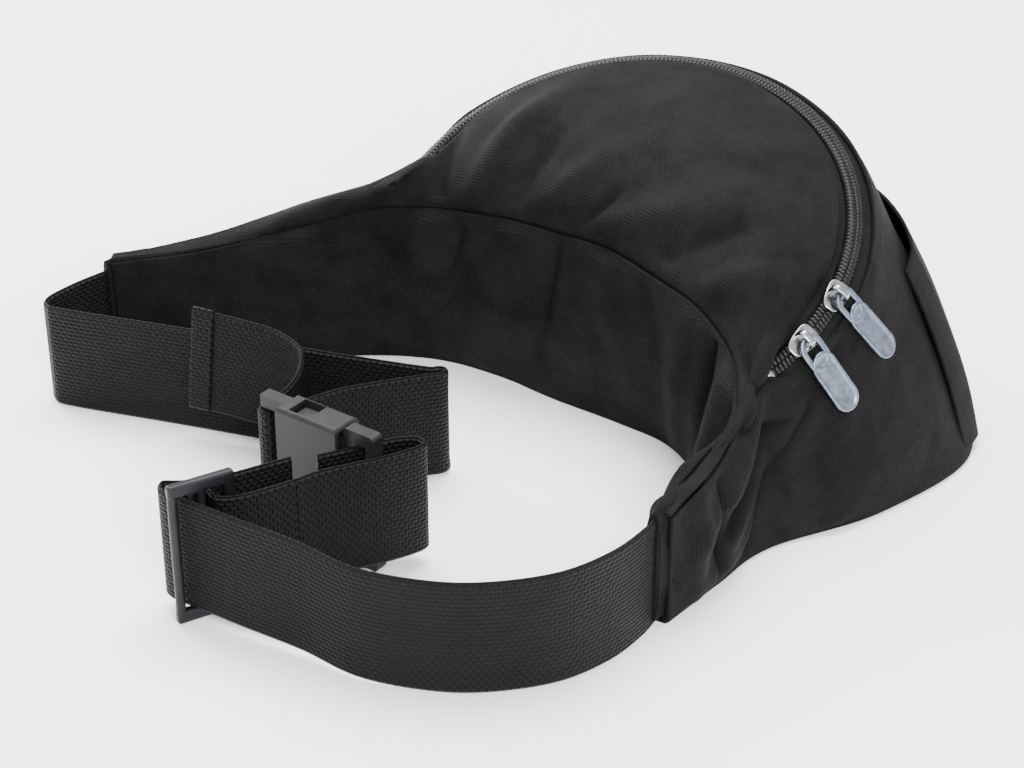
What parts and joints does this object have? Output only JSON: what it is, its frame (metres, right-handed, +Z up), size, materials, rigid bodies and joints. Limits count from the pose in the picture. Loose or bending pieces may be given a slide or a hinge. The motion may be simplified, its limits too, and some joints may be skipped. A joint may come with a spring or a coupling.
{
  "type": "waist pack",
  "caption": "Waist pack with a curved zip across its top, a padded back, tapered wings and a webbing belt with a side-release buckle and a tri-glide.",
  "frame": {"origin": "middle of the flat bottom panel, on the surface that the pack stands on", "axes": "+Z up as the pack stands, +Y away from the wearer towards the pack front, +X along the belt towards the wing whose belt carries the tri-glide"},
  "size_m": [0.2898, 0.2623, 0.1027],
  "materials": {
    "woven_fabric": "matte",
    "padded_back": "matte",
    "zip_tape": "matte",
    "zip_coil": "satin",
    "zip_metal": "polished",
    "pull_tag": "satin",
    "webbing": "matte",
    "buckle_plastic": "satin",
    "triglide_plastic": "satin"
  },
  "bodies": {
    "pack": {"back_panel": "padded_back", "belt_left": "webbing", "belt_right": "webbing", "belt_tail": "webbing", "belt_tail_hem": "webbing", "bottom_panel": "woven_fabric", "buckle_housing": "buckle_plastic", "front_panel": "woven_fabric", "front_pocket": "woven_fabric", "pocket_zip_coil": "zip_coil", "pocket_zip_tape": "zip_tape", "top_panel": "woven_fabric", "wing_left": "woven_fabric", "wing_right": "woven_fabric", "zip_coil_inner": "zip_coil", "zip_coil_outer": "zip_coil", "zip_stop_left": "zip_metal", "zip_stop_right": "zip_metal", "zip_tape_inner": "zip_tape", "zip_tape_outer": "zip_tape"},
    "slider_a": {"zip_slider_a": "zip_metal"},
    "pull_a": {"zip_pull_a": "pull_tag"},
    "slider_b": {"zip_slider_b": "zip_metal"},
    "pull_b": {"zip_pull_b": "pull_tag"},
    "triglide": {"triglide": "triglide_plastic", "belt_sewn_loop": "webbing"},
    "buckle_male": {"buckle_male": "buckle_plastic", "belt_buckle_loop": "webbing"},
    "arm_upper": {"buckle_arm_upper": "buckle_plastic"},
    "arm_lower": {"buckle_arm_lower": "buckle_plastic"}
  },
  "joints": [
    {"name": "slider_a_run", "type": "hinge", "parent": "pack", "child": "slider_a", "pos_m": [0, -0.036, 0.06537], "axis": [0, -0.4384, 0.8988], "range_deg": [-2, 165]},
    {"name": "pull_a_lift", "type": "hinge", "parent": "slider_a", "child": "pull_a", "pos_m": [0.08251, -0.04082, 0.06867], "axis": [-0.0349, -0.8982, -0.4381], "range_deg": [0, 140]},
    {"name": "slider_b_run", "type": "hinge", "parent": "pack", "child": "slider_b", "pos_m": [0, -0.036, 0.06537], "axis": [0, -0.4384, 0.8988], "range_deg": [-4, 2]},
    {"name": "pull_b_lift", "type": "hinge", "parent": "slider_b", "child": "pull_b", "pos_m": [0.07936, -0.05868, 0.05996], "axis": [-0.2756, -0.864, -0.4214], "range_deg": [0, 140]},
    {"name": "triglide_slide", "type": "slide", "parent": "pack", "child": "triglide", "axis": [1, 0, 0], "range_m": [0, 0.005]},
    {"name": "buckle_release", "type": "slide", "parent": "pack", "child": "buckle_male", "axis": [0.9925, -0.1219, 0], "range_m": [0, 0.022]},
    {"name": "arm_press_upper", "type": "hinge", "parent": "buckle_male", "child": "arm_upper", "pos_m": [-0.0271, -0.15554, 0.04205], "axis": [-0.1219, -0.9925, 0], "range_deg": [0, 6], "stiffness_Nm_per_rad": 0.05},
    {"name": "arm_press_lower", "type": "hinge", "parent": "buckle_male", "child": "arm_lower", "pos_m": [-0.0271, -0.15554, 0.00635], "axis": [0.1219, 0.9925, 0], "range_deg": [0, 6], "stiffness_Nm_per_rad": 0.05}
  ]
}
